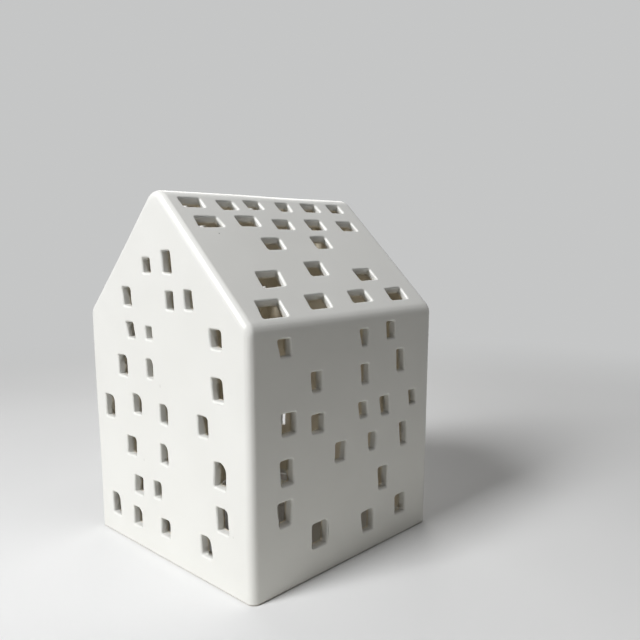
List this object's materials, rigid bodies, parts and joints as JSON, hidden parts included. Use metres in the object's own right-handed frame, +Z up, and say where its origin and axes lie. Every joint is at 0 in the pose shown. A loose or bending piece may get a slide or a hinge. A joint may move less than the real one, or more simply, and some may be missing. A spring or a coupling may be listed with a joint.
{
  "type": "tealight house",
  "caption": "White glazed ceramic house with a gable roof and small cut windows on every side, open below and lowered over a tealight.",
  "frame": {"origin": "middle of the open foot, on the surface the house stands on", "axes": "+Z up, +Y along the ridge from the front gable to the rear gable, +X out of the side wall that the picture shows"},
  "size_m": [0.1, 0.1, 0.1371],
  "materials": {
    "white_glaze": "glossy white glaze",
    "cup_aluminium": "bright pressed foil",
    "candle_wax": "white paraffin wax",
    "sustainer_steel": "tinned",
    "wick_cotton": "waxed braided cotton"
  },
  "bodies": {
    "tealight": {"tealight_cup": "cup_aluminium", "tealight_wax": "candle_wax", "wick_sustainer": "sustainer_steel", "wick": "wick_cotton"},
    "house": {"house_shell": "white_glaze"}
  },
  "joints": [
    {"name": "house_lift", "type": "slide", "parent": "tealight", "child": "house", "axis": [0, 0, 1], "range_m": [0, 0.06]}
  ]
}
